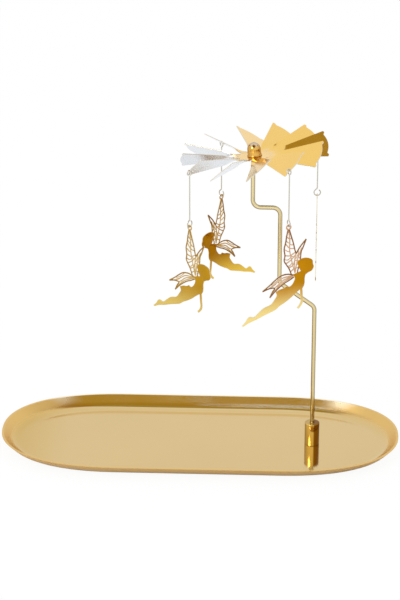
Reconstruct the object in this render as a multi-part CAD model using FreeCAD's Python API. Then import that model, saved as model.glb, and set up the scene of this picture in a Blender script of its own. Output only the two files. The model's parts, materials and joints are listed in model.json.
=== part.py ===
import FreeCAD, Part
import math
import os

# Angel chime carousel with a long tray: candle heat turns a fan wheel that carries four
# hanging fairies round. Millimetres. The origin is the middle of the tray's underside, +Z is up,
# +X runs along the tray towards the rod socket and -Y faces the viewer.

# Driving dimensions, all in millimetres or degrees unless the name says otherwise.

# Tray
tray_half_length = 95.0
tray_half_width = 40.0
tray_end_length = 58.0
tray_end_power = 2.3
tray_height = 6.0
tray_wall_run = 5.5
tray_sheet = 0.8
tray_floor_bend_radius = 8.0
tray_end_points = 6

# Screw, dimple and socket at the right of the tray
socket_x = 53.7
socket_radius = 3.5
socket_height = 11.2
socket_top_bevel = 0.3
screw_head_radius = 2.8
screw_shank_radius = 1.5
screw_head_height = 1.4
screw_length = 6.0
screw_slot_width = 0.8
screw_slot_depth = 0.5
screw_gap = 0.06

# Bent rod, drawn in the plane y = 0 from the socket up to its needle point. Its bends are
# measured down from the wheel, because they leave room for what hangs there.
rod_radius = 1.0
rod_fit_gap = 0.03
rod_foot_height = 7.0
rod_low_bend_drop = 74.7
rod_mid_x = 37.1
rod_mid_bend_drop = 62.7
rod_arm_drop = 25.2
wheel_x = 24.4
rod_bend_radius = 3.6
needle_length = 9.0
needle_tip_radius = 0.12

# Fan wheel
wheel_sheet = 0.35
wheel_plane_height = 146.9
blade_count = 12
blades_per_hanger = 3
first_blade_angle = 35.0
hub_radius = 6.8
blade_pitch_angle = 36.0
blade_rise_angle = 4.6
blade_half_angle = 13.0
twist_start_radius = 7.0
twist_end_radius = 15.0
twist_steps = 5
blade_slit_half_gap = 0.15
tip_corner_pos = 32.8
tip_lobe_top = 33.3
tip_notch_top = 32.8
tip_arc_top = 34.0
tip_lobe_half_chord = 5.7
tip_notch_half_chord = 5.2
tip_lobe_shift = 0.3
hanging_hole_side = 4.0
hanging_hole_radius = 0.95
hanging_bridge = 0.5
cut_overrun = 1.0

# Bearing cap
cap_radius = 3.1
cap_wall = 0.4
cap_height = 6.4
cap_flange_radius = 4.3
cap_flange_thickness = 0.35
cap_bead_radius = 0.32
cap_bead_sink = 0.11
cap_point_gap = 0.05
cap_fit_gap = 0.02

# How the wheel stands on its point in the photo: the left side low, the far side a little low
rotor_tilt_angle = 7.7
rotor_low_side_angle = 144.0

# Wire hangers
wire_radius = 0.27
top_loop_radius = 1.15
low_loop_radius = 1.5
hanger_drop = 27.0
loop_sweep_angle = 285.0
loop_entry_angle = 135.0
neck_bend_radius = 0.6
hook_play = 0.12
ring_play = 0.05

# Fairies, cut from flat sheet. Their height runs from the middle of the ring to the toes.
fairy_height = 45.0
fairy_sheet = 0.4
ring_outer_radius = 1.4
ring_hole_radius = 0.66
vein_width = 0.5
arm_width = 1.1

# The part's own checks of a few simple relations
assert tray_wall_run < tray_half_width
assert hanging_hole_radius > 2 * wire_radius
assert ring_hole_radius > wire_radius + ring_play

os.makedirs("parts", exist_ok=True)

origin = FreeCAD.Vector(0, 0, 0)
up = FreeCAD.Vector(0, 0, 1)
along_x = FreeCAD.Vector(1, 0, 0)
along_y = FreeCAD.Vector(0, 1, 0)


def vec(x, y, z):
    return FreeCAD.Vector(x, y, z)


def smooth(points):
    curve = Part.BSplineCurve()
    curve.interpolate(points)
    return curve.toShape()


def through(first, middle, last):
    return Part.Arc(first, middle, last).toShape()


def prism(edges, direction):
    return Part.Face(Part.Wire(edges)).extrude(direction)


# Tray: two straight sides and two full rounded ends, lofted from the floor out to the rim
def tray_outline(inset, height):
    half_length = tray_half_length - inset
    half_width = tray_half_width - inset
    end_length = tray_end_length - inset
    straight = half_length - end_length
    sweep_steps = 2 * tray_end_points
    ends = []
    for side in (1, -1):
        points = []
        for step in range(sweep_steps + 1):
            angle = side * (math.pi / 2) * (1 - step / tray_end_points)
            reach = abs(math.cos(angle)) ** (2 / tray_end_power)
            across = abs(math.sin(angle)) ** (2 / tray_end_power)
            x = side * (straight + end_length * reach)
            y = math.copysign(half_width * across, math.sin(angle))
            if step in (0, sweep_steps):
                x = side * straight
                y = math.copysign(half_width, math.sin(angle))
            points.append(vec(x, y, height))
        ends.append(smooth(points))
    near = Part.makeLine(vec(straight, -half_width, height), vec(-straight, -half_width, height))
    far = Part.makeLine(vec(-straight, half_width, height), vec(straight, half_width, height))
    return Part.Wire([ends[0], near, ends[1], far])


def build_tray():
    slope = math.atan2(tray_height, tray_wall_run)
    side_step = tray_sheet / math.sin(slope)
    floor_shift = tray_sheet / math.tan(slope)
    rise = 2 * tray_sheet
    rise_run = rise / math.tan(slope)
    outer = Part.makeLoft(
        [tray_outline(tray_wall_run, 0), tray_outline(0, tray_height)], True, True)
    inner = Part.makeLoft(
        [tray_outline(tray_wall_run + side_step - floor_shift, tray_sheet),
         tray_outline(side_step - rise_run, tray_height + rise)], True, True)
    pan = outer.cut(inner)
    low_edges = [edge for edge in pan.Edges if edge.BoundBox.ZMax < tray_sheet / 2]
    pan = pan.makeFillet(tray_floor_bend_radius + tray_sheet, low_edges)
    inner_edges = [edge for edge in pan.Edges
                   if abs(edge.BoundBox.Center.z - tray_sheet) < tray_sheet / 4
                   and edge.BoundBox.ZLength < tray_sheet / 4]
    return pan.makeFillet(tray_floor_bend_radius, inner_edges)


# The dimple pressed up in the floor hides the screw head above the table
dimple_slope_run = screw_head_radius - screw_shank_radius
dimple_inner_low = screw_head_radius + screw_gap
dimple_inner_high = screw_shank_radius + screw_gap
dimple_height = screw_head_height + tray_sheet


def cone_at(low_radius, high_radius, low_height, height):
    return Part.makeCone(low_radius, high_radius, height, vec(socket_x, 0, low_height))


def cylinder_at(radius, low_height, height):
    return Part.makeCylinder(radius, height, vec(socket_x, 0, low_height))


def add_dimple(pan):
    shell = cone_at(dimple_inner_low + tray_sheet, dimple_inner_high + tray_sheet / 2,
                    0, dimple_height)
    room = cone_at(dimple_inner_low, dimple_inner_high, 0, screw_head_height)
    bore = cylinder_at(dimple_inner_high, 0, dimple_height + tray_sheet)
    pan = pan.fuse(shell).cut(room).cut(bore)
    return pan.removeSplitter()


def build_screw():
    head = cone_at(screw_head_radius, screw_shank_radius, 0, screw_head_height)
    shank = cylinder_at(screw_shank_radius, 0, screw_length)
    screw = head.fuse(shank).removeSplitter()
    slot_length = 2 * (screw_head_radius + screw_gap)
    slot = Part.makeBox(slot_length, screw_slot_width, screw_slot_depth,
                        vec(socket_x - slot_length / 2, -screw_slot_width / 2, 0))
    return screw.cut(slot)


def build_socket():
    body = cylinder_at(socket_radius, tray_sheet, socket_height)
    top_edges = [edge for edge in body.Edges
                 if edge.BoundBox.ZMin > tray_sheet + socket_height - socket_top_bevel]
    body = body.makeChamfer(socket_top_bevel, top_edges)
    recess = cone_at(dimple_inner_low + tray_sheet + screw_gap,
                     dimple_inner_high + tray_sheet / 2 + screw_gap,
                     0, dimple_height + screw_gap)
    thread = cylinder_at(screw_shank_radius + screw_gap / 2, 0, screw_length + screw_gap)
    bore = cylinder_at(rod_radius + rod_fit_gap, rod_foot_height, socket_height)
    return body.cut(recess).cut(thread).cut(bore)


# Rod: corners joined by bends of one radius, then a long needle point
def bent_wire_path(corners, bend_radius):
    edges = []
    last = corners[0]
    for index in range(1, len(corners) - 1):
        here = corners[index]
        before = (corners[index - 1] - here).normalize()
        after = (corners[index + 1] - here).normalize()
        half = before.getAngle(after) / 2
        back = bend_radius / math.tan(half)
        start = here + before * back
        end = here + after * back
        middle_line = (before + after).normalize()
        middle = here + middle_line * (bend_radius / math.sin(half) - bend_radius)
        edges.append(Part.makeLine(last, start))
        edges.append(through(start, middle, end))
        last = end
    edges.append(Part.makeLine(last, corners[-1]))
    return Part.Wire(edges)


def sweep_round(path, start, direction, radius):
    profile = Part.Wire([Part.makeCircle(radius, start, direction)])
    return path.makePipeShell([profile], True, False)


cap_top_height = wheel_plane_height + cap_height
needle_tip_height = cap_top_height - cap_wall - cap_point_gap
needle_start_height = needle_tip_height - needle_length


def build_rod():
    foot = vec(socket_x, 0, rod_foot_height + rod_fit_gap)
    corners = [foot,
               vec(socket_x, 0, wheel_plane_height - rod_low_bend_drop),
               vec(rod_mid_x, 0, wheel_plane_height - rod_mid_bend_drop),
               vec(rod_mid_x, 0, wheel_plane_height - rod_arm_drop),
               vec(wheel_x, 0, wheel_plane_height - rod_arm_drop),
               vec(wheel_x, 0, needle_start_height)]
    bar = sweep_round(bent_wire_path(corners, rod_bend_radius), foot, up, rod_radius)
    point = Part.makeCone(rod_radius, needle_tip_radius, needle_length,
                          vec(wheel_x, 0, needle_start_height))
    return bar.fuse(point).removeSplitter()


# Fan wheel, first built level round the z axis of its own frame, the middle of its sheet at
# zero. A blade lies along local x with its raised side at +y: it is pitched about its own
# length and rises outwards from the place where its twist starts.
twist_start = vec(twist_start_radius, 0, 0)


def blade_frame(angle):
    turn = FreeCAD.Placement(origin, FreeCAD.Rotation(up, angle))
    rise = FreeCAD.Placement(origin, FreeCAD.Rotation(along_y, -blade_rise_angle), twist_start)
    lean = FreeCAD.Placement(origin, FreeCAD.Rotation(along_x, blade_pitch_angle))
    return turn.multiply(rise).multiply(lean)


def twist_ring(share):
    out = (twist_end_radius - twist_start_radius) * share
    rise = math.radians(blade_rise_angle)
    middle = twist_start + vec(out * math.cos(rise), 0, out * math.sin(rise))
    pitch = FreeCAD.Rotation(along_x, blade_pitch_angle * share)
    turn = FreeCAD.Rotation(along_y, -blade_rise_angle * share).multiply(pitch)
    half = blade_half_width(twist_start_radius + out)
    lift = wheel_sheet / 2
    corners = [(-half, -lift), (half, -lift), (half, lift), (-half, lift), (-half, -lift)]
    return Part.makePolygon([middle + turn.multVec(vec(0, y, z)) for y, z in corners])


def blade_half_width(out):
    return out * math.tan(math.radians(blade_half_angle)) - blade_slit_half_gap


def build_twist():
    rings = [twist_ring(step / twist_steps) for step in range(twist_steps + 1)]
    return Part.makeLoft(rings, True, True)


# The flat root of a blade reaches inside the hub disc
def build_root():
    inner_half = blade_half_width(cap_radius + cap_bead_radius)
    half = blade_half_width(twist_start_radius)
    low = -wheel_sheet / 2
    ring = [vec(cap_radius + cap_bead_radius, -inner_half, low),
            vec(twist_start_radius, -half, low), vec(twist_start_radius, half, low),
            vec(cap_radius + cap_bead_radius, inner_half, low)]
    return Part.Face(Part.makePolygon(ring + [ring[0]])).extrude(vec(0, 0, wheel_sheet))


def build_paddle():
    def at(side, out):
        return vec(out, side, -wheel_sheet / 2)
    root_half = blade_half_width(twist_end_radius)
    corner_half = blade_half_width(tip_corner_pos)
    edges = [Part.makeLine(at(-root_half, twist_end_radius), at(root_half, twist_end_radius)),
             Part.makeLine(at(root_half, twist_end_radius),
                           at(corner_half, tip_corner_pos))]
    lobe_middle = (corner_half + tip_lobe_half_chord) / 2 + tip_lobe_shift
    edges.append(through(at(corner_half, tip_corner_pos),
                         at(lobe_middle, tip_lobe_top),
                         at(tip_lobe_half_chord, tip_notch_top)))
    edges.append(Part.makeLine(at(tip_lobe_half_chord, tip_notch_top),
                               at(tip_notch_half_chord, tip_notch_top)))
    edges.append(through(at(tip_notch_half_chord, tip_notch_top), at(0, tip_arc_top),
                         at(-tip_notch_half_chord, tip_notch_top)))
    edges.append(Part.makeLine(at(-tip_notch_half_chord, tip_notch_top),
                               at(-tip_lobe_half_chord, tip_notch_top)))
    edges.append(through(at(-tip_lobe_half_chord, tip_notch_top),
                         at(-lobe_middle, tip_lobe_top),
                         at(-corner_half, tip_corner_pos)))
    edges.append(Part.makeLine(at(-corner_half, tip_corner_pos),
                               at(-root_half, twist_end_radius)))
    paddle = prism(edges, vec(0, 0, wheel_sheet))
    return paddle


# The hanging hole leaves a narrow bridge of sheet between itself and the scalloped edge
def tip_arc_at(side):
    rise = tip_arc_top - tip_notch_top
    arc_radius = (tip_notch_half_chord ** 2 + rise ** 2) / (2 * rise)
    return tip_arc_top - arc_radius + math.sqrt(arc_radius ** 2 - side ** 2)


bridge_centre_pos = tip_arc_at(hanging_hole_side) - hanging_bridge / 2
hanging_hole_pos = bridge_centre_pos - hanging_bridge / 2 - hanging_hole_radius


def hole_cutter():
    return Part.makeCylinder(hanging_hole_radius, wheel_sheet + 2 * cut_overrun,
                             vec(hanging_hole_pos, -hanging_hole_side,
                                 -wheel_sheet / 2 - cut_overrun))


def build_wheel():
    curl = build_root().fuse(build_twist())
    wheel = Part.makeCylinder(hub_radius, wheel_sheet, vec(0, 0, -wheel_sheet / 2))
    for index in range(blade_count):
        angle = first_blade_angle + 360 / blade_count * index
        paddle = build_paddle()
        if index % blades_per_hanger == 0:
            paddle = paddle.cut(hole_cutter())
        paddle.Placement = blade_frame(0)
        blade = curl.fuse(paddle)
        blade.rotate(origin, up, angle)
        wheel = wheel.fuse(blade)
    bore = Part.makeCylinder(cap_radius + cap_fit_gap, wheel_sheet + 2 * cut_overrun,
                             vec(0, 0, -wheel_sheet / 2 - cut_overrun))
    return wheel.cut(bore)


# Bearing cap: a hollow thimble, its flange under the wheel and a rolled bead over it
def build_cap():
    low = -wheel_sheet / 2 - cap_flange_thickness
    dome_low = cap_height - cap_radius
    inner_radius = cap_radius - cap_wall
    tube = Part.makeCylinder(cap_radius, dome_low - low, vec(0, 0, low))
    dome = Part.makeSphere(cap_radius, vec(0, 0, dome_low))
    flange = Part.makeCylinder(cap_flange_radius, cap_flange_thickness, vec(0, 0, low))
    bead = Part.makeTorus(cap_radius - cap_bead_sink, cap_bead_radius,
                          vec(0, 0, wheel_sheet / 2 + cap_bead_radius + cap_fit_gap))
    room = Part.makeCylinder(inner_radius, dome_low - low, vec(0, 0, low))
    room = room.fuse(Part.makeSphere(inner_radius, vec(0, 0, dome_low)))
    return tube.fuse(dome).fuse(flange).fuse(bead).removeSplitter().cut(room)


# The whole rotor leans about the point it stands on
pivot = vec(wheel_x, 0, cap_top_height - cap_wall)


def rotor_placement():
    lift = FreeCAD.Placement(vec(wheel_x, 0, wheel_plane_height), FreeCAD.Rotation())
    low = math.radians(rotor_low_side_angle)
    lean_axis = vec(-math.sin(low), math.cos(low), 0)
    lean = FreeCAD.Placement(origin, FreeCAD.Rotation(lean_axis, rotor_tilt_angle), pivot)
    return lean.multiply(lift)


def placed(shape, placement):
    moved = shape.copy()
    moved.Placement = placement.multiply(moved.Placement)
    return moved


# Hangers: a straight wire with an eye bent at each end, both eyes drawn from one pattern.
# The eye's frame has its centre at zero, its plane across x and the shank coming from above.
def eye_with_shank(shank_length, loop_radius):
    def on_loop(degrees):
        angle = math.radians(degrees)
        return vec(loop_radius * math.cos(angle), 0, loop_radius * math.sin(angle))
    entry = on_loop(loop_entry_angle)
    meeting = vec(0, 0, 2 * entry.z)
    last = loop_entry_angle + loop_sweep_angle
    middle = loop_entry_angle + loop_sweep_angle / 2
    top = vec(0, 0, shank_length)
    slant = (entry - meeting).normalize()
    half = up.getAngle(slant) / 2
    back = neck_bend_radius / math.tan(half)
    neck_start = meeting + up * back
    neck_end = meeting + slant * back
    bisector = (up + slant).normalize()
    reach = neck_bend_radius / math.sin(half) - neck_bend_radius
    neck_middle = meeting + bisector * reach
    path = Part.Wire([Part.makeLine(top, neck_start),
                      through(neck_start, neck_middle, neck_end),
                      Part.makeLine(neck_end, entry),
                      through(entry, on_loop(middle), on_loop(last))])
    return sweep_round(path, top, up, wire_radius)


ring_lift = ring_hole_radius - wire_radius - ring_play
low_eye_height = -hanger_drop + ring_lift + low_loop_radius


# Frame of a hanger: zero in the sheet, in the middle of the bridge that the wire hooks over.
# The steeper the sheet stands there, the higher the wire's middle lies above its middle.
def build_hanger(top_turn, low_turn, sheet_levelness):
    seat_lift = (wire_radius + wheel_sheet / 2 + hook_play) / sheet_levelness
    high_eye_height = seat_lift - top_loop_radius
    shank_middle = (high_eye_height + low_eye_height) / 2
    low = eye_with_shank(shank_middle - low_eye_height, low_loop_radius)
    low.rotate(origin, up, low_turn)
    low.translate(vec(0, 0, low_eye_height))
    high = eye_with_shank(high_eye_height - shank_middle, top_loop_radius)
    high.rotate(origin, along_x, 180)
    high.rotate(origin, up, top_turn)
    high.translate(vec(0, 0, high_eye_height))
    return low.fuse(high).removeSplitter()


# Fairy outlines as shares of its height, x forwards to the head and z up from the middle of
# the hanging ring
body_back_shares = [(0.14, -0.493), (0.098, -0.507), (0.053, -0.52)]
body_waist_shares = [(0.053, -0.52), (0.076, -0.558), (0.067, -0.596), (0.042, -0.631),
    (0.016, -0.647), (-0.013, -0.636)]
dress_hem_shares = [(-0.013, -0.636), (-0.044, -0.653), (-0.084, -0.66), (-0.133, -0.682)]
leg_back_shares = [(-0.133, -0.682), (-0.12, -0.72), (-0.142, -0.76), (-0.184, -0.811),
    (-0.262, -0.838), (-0.32, -0.882), (-0.364, -0.918), (-0.409, -0.909), (-0.436, -0.92),
    (-0.46, -0.958), (-0.5, -0.996)]
leg_front_shares = [(-0.5, -0.996), (-0.482, -1.002), (-0.427, -0.976), (-0.34, -0.949),
    (-0.269, -0.922), (-0.189, -0.896), (-0.133, -0.876), (-0.084, -0.84), (-0.038, -0.816),
    (0.027, -0.776), (0.082, -0.731), (0.129, -0.698)]
chest_shares = [(0.129, -0.698), (0.16, -0.684), (0.178, -0.656), (0.184, -0.62),
    (0.184, -0.576), (0.196, -0.529)]
neck_shares = [(0.196, -0.529), (0.169, -0.498), (0.14, -0.493)]
hair_shares = [(0.142, -0.496), (0.12, -0.453), (0.102, -0.391), (0.144, -0.36),
    (0.191, -0.356), (0.236, -0.369), (0.267, -0.391), (0.273, -0.431), (0.282, -0.467),
    (0.262, -0.504), (0.224, -0.52), (0.196, -0.538)]
hair_close_shares = [(0.196, -0.538), (0.169, -0.524), (0.142, -0.496)]
arm_shares = [(0.147, -0.676), (0.153, -0.764), (0.158, -0.831), (0.133, -0.878),
    (0.111, -0.898)]
big_wing_back_shares = [(-0.007, -0.027), (-0.022, -0.096), (-0.031, -0.16), (-0.047, -0.229),
    (-0.038, -0.3), (-0.044, -0.356), (-0.022, -0.398), (0.009, -0.447), (0.036, -0.511)]
big_wing_front_shares = [(0.007, -0.027), (0.029, -0.1), (0.053, -0.178), (0.069, -0.244),
    (0.084, -0.296)]
small_wing_back_shares = [(0.084, -0.296), (0.129, -0.227), (0.193, -0.153)]
small_wing_front_shares = [(0.193, -0.153), (0.16, -0.238), (0.14, -0.287), (0.133, -0.369)]
shoulder_edge_shares = [(0.138, -0.373), (0.12, -0.431), (0.107, -0.48), (0.102, -0.516)]
wing_veins_shares = [
    [(0.0, -0.031), (0.013, -0.144), (0.013, -0.244), (0.036, -0.356), (0.076, -0.507)],
    [(-0.029, -0.178), (0.013, -0.227), (0.064, -0.236)],
    [(-0.04, -0.298), (0.02, -0.309), (0.076, -0.28)],
    [(-0.027, -0.391), (0.033, -0.356), (0.084, -0.298)],
    [(-0.02, -0.102), (0.011, -0.124), (0.033, -0.124)],
    [(0.084, -0.296), (0.071, -0.367), (0.076, -0.507)],
    [(0.147, -0.24), (0.124, -0.298), (0.098, -0.378), (0.08, -0.502)],
    [(0.109, -0.267), (0.111, -0.324), (0.136, -0.364)],
    [(0.007, -0.44), (0.053, -0.418), (0.076, -0.369), (0.129, -0.382)],
    [(0.027, -0.484), (0.067, -0.458), (0.116, -0.449)],
]
low_wing_top_shares = [(0.071, -0.529), (0.009, -0.509), (-0.038, -0.507), (-0.093, -0.52),
    (-0.149, -0.558), (-0.198, -0.598), (-0.278, -0.653)]
low_wing_notch_shares = [(-0.278, -0.653), (-0.204, -0.633), (-0.147, -0.638), (-0.169, -0.676),
    (-0.198, -0.733)]
low_wing_under_shares = [(-0.198, -0.733), (-0.149, -0.682), (-0.093, -0.636), (-0.036, -0.598),
    (0.018, -0.573), (0.067, -0.547)]
low_wing_veins_shares = [
    [(0.058, -0.531), (-0.053, -0.54), (-0.129, -0.587), (-0.209, -0.631)],
    [(0.058, -0.536), (-0.044, -0.562), (-0.107, -0.607), (-0.151, -0.64)],
    [(0.053, -0.54), (-0.036, -0.58), (-0.102, -0.624), (-0.164, -0.687)],
]


def scaled(shares):
    return [(x * fairy_height, z * fairy_height) for x, z in shares]


def flat(point):
    return vec(point[0], -fairy_sheet / 2, point[1])


def plate(stretches):
    edges = []
    for shares in stretches:
        edges.append(smooth([flat(point) for point in scaled(shares)]))
    return prism(edges, vec(0, fairy_sheet, 0))


# A narrow strip of sheet along a line of points, the same width all the way
def strip(shares, width):
    points = scaled(shares)
    left = []
    right = []
    for index, point in enumerate(points):
        before = points[max(index - 1, 0)]
        after = points[min(index + 1, len(points) - 1)]
        run = math.hypot(after[0] - before[0], after[1] - before[1])
        side_x = -(after[1] - before[1]) / run * width / 2
        side_z = (after[0] - before[0]) / run * width / 2
        left.append((point[0] + side_x, point[1] + side_z))
        right.append((point[0] - side_x, point[1] - side_z))
    ring = [flat(point) for point in left + right[::-1]]
    face = Part.Face(Part.makePolygon(ring + [ring[0]]))
    return face.extrude(vec(0, fairy_sheet, 0))


def build_fairy():
    body = plate([body_back_shares, body_waist_shares, dress_hem_shares, leg_back_shares,
                  leg_front_shares, chest_shares, neck_shares])
    head = plate([hair_shares, hair_close_shares])
    strips = [strip(arm_shares, arm_width)]
    outlines = [big_wing_back_shares, big_wing_front_shares, small_wing_back_shares,
                small_wing_front_shares, shoulder_edge_shares, low_wing_top_shares,
                low_wing_notch_shares, low_wing_under_shares]
    for shares in outlines + wing_veins_shares + low_wing_veins_shares:
        strips.append(strip(shares, vein_width))
    ring = Part.makeCylinder(ring_outer_radius, fairy_sheet,
                             vec(0, -fairy_sheet / 2, 0), along_y)
    hole = Part.makeCylinder(ring_hole_radius, fairy_sheet,
                             vec(0, -fairy_sheet / 2, 0), along_y)
    fairy = body.multiFuse([head, ring] + strips).removeSplitter()
    return fairy.cut(hole)


# Stations of the four hangers, counted round with the wheel from the far right one.
# The turn is how far each pendant hangs round from square to its spoke in the photo.
station_names = ["far_right", "far_left", "near_left", "near_right"]
pendant_turns = [143.9, 10.0, 17.0, -10.0]


def save(name, shape):
    solids = shape.Solids
    print(name, len(solids), "solid", round(shape.Volume, 2), "mm3",
          "valid" if shape.isValid() else "NOT VALID")
    if len(solids) == 1:
        shape = solids[0]
    shape.exportStep("parts/" + name + ".step")


save("tray", add_dimple(build_tray()))
save("tray_screw", build_screw())
save("rod_socket", build_socket())
save("rod", build_rod())
rotor = rotor_placement()
save("fan_wheel", placed(build_wheel(), rotor))
save("bearing_cap", placed(build_cap(), rotor))
fairy = build_fairy()
print("fairy centre of mass", fairy.Solids[0].CenterOfMass)

for index, name in enumerate(station_names):
    spoke_angle = first_blade_angle + 360 / blade_count * blades_per_hanger * index
    frame = rotor.multiply(blade_frame(spoke_angle))
    seat = frame.multVec(vec(bridge_centre_pos, -hanging_hole_side, 0))
    outwards = frame.Rotation.multVec(along_x)
    levelness = frame.Rotation.multVec(up).z
    spoke = math.degrees(math.atan2(outwards.y, outwards.x))
    fly_angle = spoke + 90 + pendant_turns[index]
    hanger = build_hanger(spoke, fly_angle + 90, levelness)
    hanger.translate(seat)
    save("hanger_" + name, hanger)
    pendant = fairy.copy()
    pendant.rotate(origin, up, fly_angle)
    pendant.translate(seat - up * hanger_drop)
    save("fairy_" + name, pendant)
    pin = seat + up * (ring_lift - hanger_drop)
    print(name, "seat", seat, "spoke", round(spoke, 3), "fly", round(fly_angle, 3), "pin", pin,
          "level", round(levelness, 4))
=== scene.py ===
# %% [markdown]
# # An angel chime carousel in polished metal
# A long tray, a cranked rod, a fan wheel on a needle point and four figures on wire hangers.
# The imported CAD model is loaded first. It fixes every size and place, and the pieces made here
# take the place of its nodes with finer edges and real finishes.

# %% Load the frame
import bmesh
import bpy
import json
import math
from mathutils import Matrix, Vector


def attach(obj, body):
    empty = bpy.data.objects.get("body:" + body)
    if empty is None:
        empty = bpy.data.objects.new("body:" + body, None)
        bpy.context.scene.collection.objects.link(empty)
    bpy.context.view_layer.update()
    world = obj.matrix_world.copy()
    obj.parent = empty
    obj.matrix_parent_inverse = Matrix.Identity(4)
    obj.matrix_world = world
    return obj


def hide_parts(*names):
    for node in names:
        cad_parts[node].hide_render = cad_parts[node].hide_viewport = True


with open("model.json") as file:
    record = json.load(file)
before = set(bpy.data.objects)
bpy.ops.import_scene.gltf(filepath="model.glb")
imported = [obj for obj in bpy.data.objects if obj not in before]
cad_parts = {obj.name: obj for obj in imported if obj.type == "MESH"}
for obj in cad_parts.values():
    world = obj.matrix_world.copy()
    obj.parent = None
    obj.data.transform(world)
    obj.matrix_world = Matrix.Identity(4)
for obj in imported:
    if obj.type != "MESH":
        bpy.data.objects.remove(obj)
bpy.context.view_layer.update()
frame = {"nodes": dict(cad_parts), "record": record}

# %% [markdown]
# Blender works in metres here, and the object is small, so sizes are written in millimetres and
# multiplied by `mm`. Every operator acts on what is selected, so each piece starts with nothing
# selected.

# %% Small helpers for starting and finishing a piece
mm = 0.001


def nothing_selected():
    if bpy.context.mode != "OBJECT":
        bpy.ops.object.mode_set(mode="OBJECT")
    bpy.ops.object.select_all(action="DESELECT")


def only(piece):
    nothing_selected()
    piece.select_set(True)
    bpy.context.view_layer.objects.active = piece


def place(piece, matrix):
    only(piece)
    piece.matrix_world = matrix @ piece.matrix_world
    bpy.ops.object.transform_apply(location=True, rotation=True, scale=True)


def apply_all(piece):
    only(piece)
    for modifier in list(piece.modifiers):
        bpy.ops.object.modifier_apply(modifier=modifier.name)


def outward_normals(piece):
    only(piece)
    bpy.ops.object.mode_set(mode="EDIT")
    bpy.ops.mesh.select_all(action="SELECT")
    bpy.ops.mesh.remove_doubles(threshold=0.001 * mm)
    bpy.ops.mesh.normals_make_consistent(inside=False)
    bpy.ops.object.mode_set(mode="OBJECT")


def soften(piece, width, angle=35.0, segments=2):
    bevel = piece.modifiers.new("soft_edge", "BEVEL")
    bevel.width = width * mm
    bevel.segments = segments
    bevel.limit_method = "ANGLE"
    bevel.angle_limit = math.radians(angle)
    bevel.harden_normals = False
    apply_all(piece)


def smooth(piece, angle=30.0):
    only(piece)
    bpy.ops.object.shade_smooth_by_angle(angle=math.radians(angle))


def keep(piece, name, body, node):
    piece.name = name
    piece.data.name = name
    only(piece)
    bpy.ops.object.transform_apply(location=True, rotation=True, scale=True)
    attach(piece, body)
    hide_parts(node)
    print(name, len(piece.data.polygons), "faces")


def mesh_piece(name, points, faces):
    mesh = bpy.data.meshes.new(name)
    mesh.from_pydata(points, [], faces)
    piece = bpy.data.objects.new(name, mesh)
    bpy.context.collection.objects.link(piece)
    return piece


def joined(pieces, name):
    nothing_selected()
    for piece in pieces:
        piece.select_set(True)
    bpy.context.view_layer.objects.active = pieces[0]
    bpy.ops.object.join()
    pieces[0].name = name
    return pieces[0]


def copied(piece, name):
    twin = piece.copy()
    twin.data = piece.data.copy()
    twin.name = name
    bpy.context.collection.objects.link(twin)
    return twin


# %% [markdown]
# ## Tray
# The real tray is pressed from one sheet: a flat floor, a soft bend, a sloping wall and a thin
# rim. It could be a curve with a bevel, but rings of vertices worked out from the outline, one
# inside the next, keep the floor truly flat. A flat floor matters, because it is a mirror.

# %% Tray outline
tray_half_length = 95.0
tray_half_width = 40.0
tray_end_length = 58.0
tray_end_power = 2.3
tray_height = 6.0
tray_wall_run = 5.5
tray_sheet = 0.8


def outline_point(turn, inset):
    half_length = tray_half_length - inset
    half_width = tray_half_width - inset
    end_length = tray_end_length - inset
    straight = half_length - end_length
    reach = abs(math.cos(turn)) ** (2 / tray_end_power)
    across = abs(math.sin(turn)) ** (2 / tray_end_power)
    x = math.copysign(straight + end_length * reach, math.cos(turn))
    return x, math.copysign(half_width * across, math.sin(turn))


# %% Tray: rings from the middle of the floor out to the rim
tray_turns = 256
bend_steps = 8
middle_inset = 26.0
floor_step = 9.0
bend_margin = 1.2
wall_shares = (0.35, 0.7, 1.0)
rim_rise = 0.02
rim_inset = 0.02
rim_drop = 0.03
wall_angle = math.atan2(tray_height, tray_wall_run)
floor_inset = tray_wall_run + tray_sheet / math.sin(wall_angle) - tray_sheet / math.tan(wall_angle)
bend_radius = 8.0
bend_length = bend_radius * math.tan(wall_angle / 2)


def tray_rings():
    # (inset, height) of the upper surface
    rings = [(floor_inset + middle_inset, tray_sheet), (floor_inset + floor_step, tray_sheet),
             (floor_inset + bend_length + bend_margin, tray_sheet)]
    for step in range(bend_steps + 1):
        angle = wall_angle * step / bend_steps
        inset = floor_inset + bend_length - bend_radius * math.sin(angle)
        rings.append((inset, tray_sheet + bend_radius * (1 - math.cos(angle))))
    bend_inset, bend_height = rings[-1]
    top_inset = tray_sheet / math.sin(wall_angle)
    for share in wall_shares:
        inset = bend_inset + (top_inset - bend_inset) * share
        rings.append((inset, bend_height + (tray_height - bend_height) * share))
    # over the rim and down the outside
    rings.append((top_inset / 2, tray_height + rim_rise))
    rings.append((rim_inset, tray_height - rim_drop))
    low_bend = bend_radius + tray_sheet
    low_length = low_bend * math.tan(wall_angle / 2)
    for step in range(bend_steps, -1, -1):
        angle = wall_angle * step / bend_steps
        inset = tray_wall_run + low_length - low_bend * math.sin(angle)
        rings.append((inset, low_bend * (1 - math.cos(angle))))
    rings.append((tray_wall_run + low_length + bend_margin, 0.0))
    rings.append((tray_wall_run + middle_inset, 0.0))
    return rings


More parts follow.
